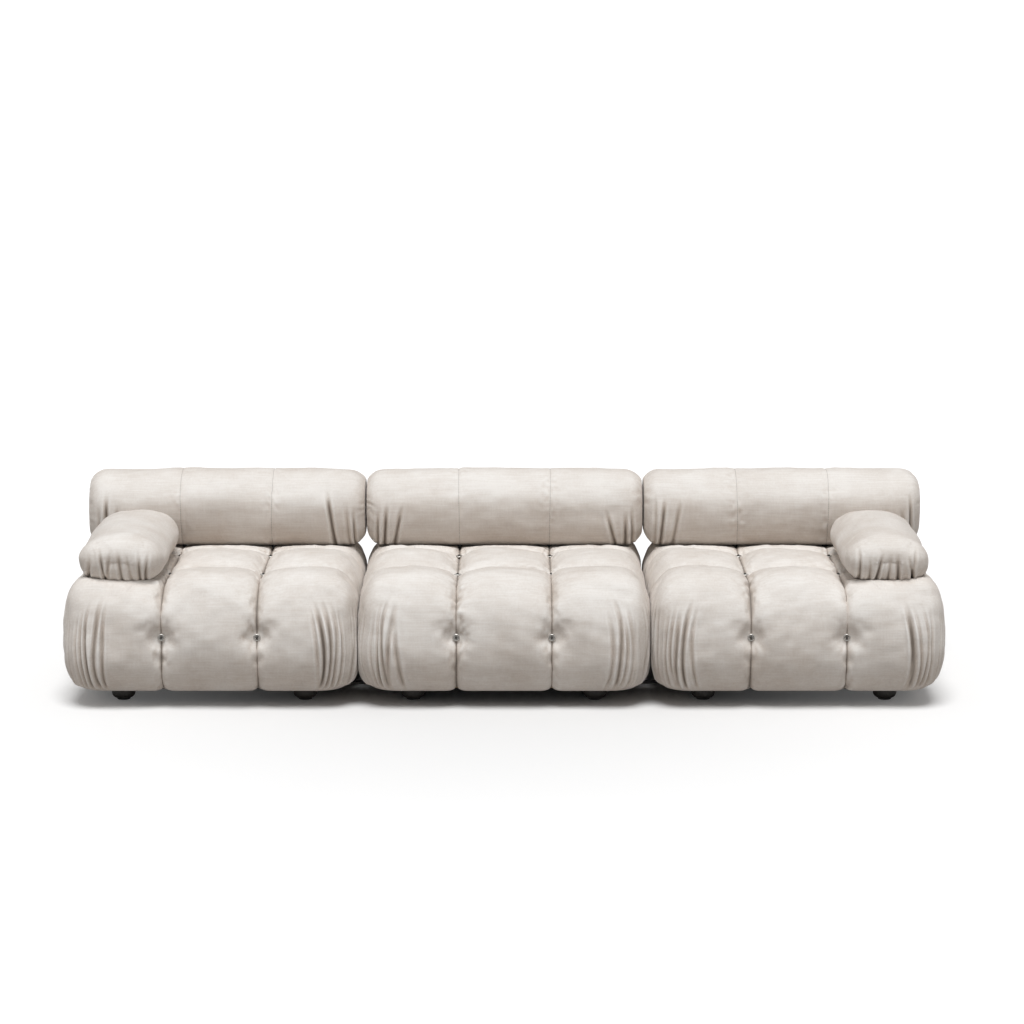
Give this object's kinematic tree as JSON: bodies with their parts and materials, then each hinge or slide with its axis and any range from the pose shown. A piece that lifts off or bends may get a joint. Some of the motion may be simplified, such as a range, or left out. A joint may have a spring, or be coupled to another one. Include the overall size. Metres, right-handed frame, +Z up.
{
  "type": "modular sofa",
  "caption": "Low modular sofa: tufted pillow seat blocks on ball feet, linked underneath, with round bolster backs and arms that lift off on rods.",
  "frame": {"origin": "on the floor, under the middle of the sofa", "axes": "+X along the sofa, -Y to the front where one sits down, +Z up"},
  "size_m": [2.7725, 0.92, 0.6372],
  "materials": {
    "cover": "matte",
    "foam": "matte",
    "dust_cloth": "matte",
    "plywood": "matte",
    "timber": "matte",
    "foot": "satin",
    "glide": "matte",
    "steel": "satin",
    "ring": "satin",
    "cord": "matte"
  },
  "bodies": {
    "left_module": {"left_seat_cover": "cover", "left_seat_foam": "foam", "left_deck_board": "plywood", "left_base_frame": "timber", "left_dust_cover": "dust_cloth", "left_feet": "foot", "left_foot_glides": "glide", "left_foot_bolts": "steel", "left_tuft_rings": "ring", "left_tie_cords": "cord", "left_tie_anchors": "steel", "left_stay_sockets": "steel", "left_link_pins": "steel"},
    "left_back": {"left_back_cover": "cover", "left_back_foam": "foam", "left_back_board": "plywood", "left_back_stays": "steel"},
    "left_arm": {"left_arm_cover": "cover", "left_arm_foam": "foam", "left_arm_stays": "steel"},
    "centre_module": {"centre_seat_cover": "cover", "centre_seat_foam": "foam", "centre_deck_board": "plywood", "centre_base_frame": "timber", "centre_dust_cover": "dust_cloth", "centre_feet": "foot", "centre_foot_glides": "glide", "centre_foot_bolts": "steel", "centre_tuft_rings": "ring", "centre_tie_cords": "cord", "centre_tie_anchors": "steel", "centre_stay_sockets": "steel", "centre_link_forks": "steel"},
    "centre_back": {"centre_back_cover": "cover", "centre_back_foam": "foam", "centre_back_board": "plywood", "centre_back_stays": "steel"},
    "right_module": {"right_seat_cover": "cover", "right_seat_foam": "foam", "right_deck_board": "plywood", "right_base_frame": "timber", "right_dust_cover": "dust_cloth", "right_feet": "foot", "right_foot_glides": "glide", "right_foot_bolts": "steel", "right_tuft_rings": "ring", "right_tie_cords": "cord", "right_tie_anchors": "steel", "right_stay_sockets": "steel", "right_link_pins": "steel"},
    "right_back": {"right_back_cover": "cover", "right_back_foam": "foam", "right_back_board": "plywood", "right_back_stays": "steel"},
    "right_arm": {"right_arm_cover": "cover", "right_arm_foam": "foam", "right_arm_stays": "steel"}
  },
  "joints": [
    {"name": "left_module_pull", "type": "slide", "parent": "centre_module", "child": "left_module", "axis": [-1, 0, 0], "range_m": [0, 0.5]},
    {"name": "right_module_pull", "type": "slide", "parent": "centre_module", "child": "right_module", "axis": [1, 0, 0], "range_m": [0, 0.5]},
    {"name": "left_back_lift", "type": "slide", "parent": "left_module", "child": "left_back", "axis": [0, 0, 1], "range_m": [0, 0.3]},
    {"name": "centre_back_lift", "type": "slide", "parent": "centre_module", "child": "centre_back", "axis": [0, 0, 1], "range_m": [0, 0.3]},
    {"name": "right_back_lift", "type": "slide", "parent": "right_module", "child": "right_back", "axis": [0, 0, 1], "range_m": [0, 0.3]},
    {"name": "left_arm_lift", "type": "slide", "parent": "left_module", "child": "left_arm", "axis": [0, 0, 1], "range_m": [0, 0.3]},
    {"name": "right_arm_lift", "type": "slide", "parent": "right_module", "child": "right_arm", "axis": [0, 0, 1], "range_m": [0, 0.3]}
  ]
}
